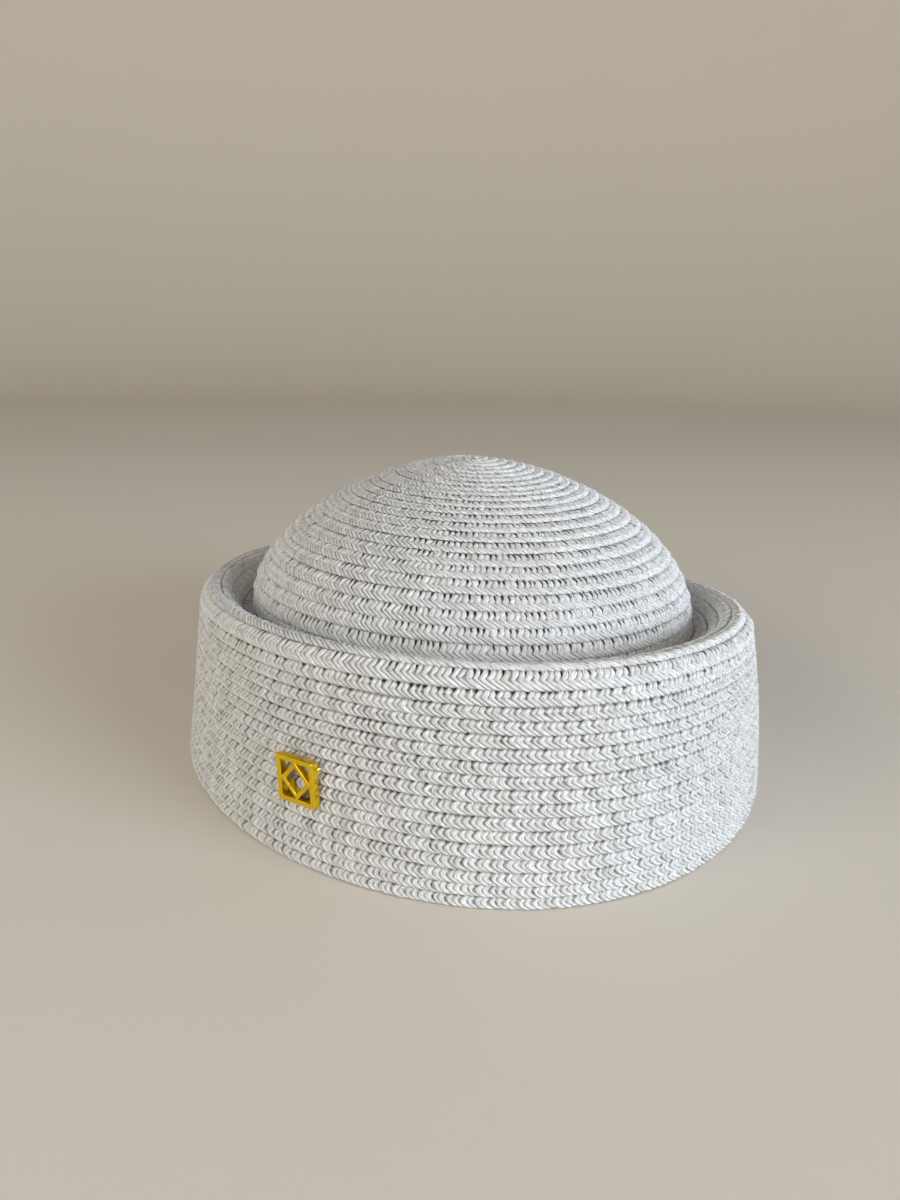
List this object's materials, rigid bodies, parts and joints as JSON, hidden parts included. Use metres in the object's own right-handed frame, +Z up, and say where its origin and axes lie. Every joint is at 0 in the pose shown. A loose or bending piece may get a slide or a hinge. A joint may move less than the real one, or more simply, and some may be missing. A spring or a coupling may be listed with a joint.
{
  "type": "sailor cap",
  "caption": "Sailor cap of sewn straw braid: domed crown, shallow gutter and a deep turned cuff that hangs to a free bottom edge, with a small square openwork metal pin.",
  "frame": {"origin": "on the floor under the middle of the cuff's bottom edge", "axes": "+Z up through the top of the crown; the wearer faces -Y and the cap is longest along Y; the wearer's right is -X, the side that the pin is on"},
  "size_m": [0.1772, 0.2054, 0.0872],
  "materials": {
    "straw_braid": "matte woven",
    "gold_metal": "satin"
  },
  "bodies": {
    "root": {"crown": "straw_braid", "cuff": "straw_braid", "ornament": "gold_metal", "ornament_back": "gold_metal"}
  },
  "joints": []
}
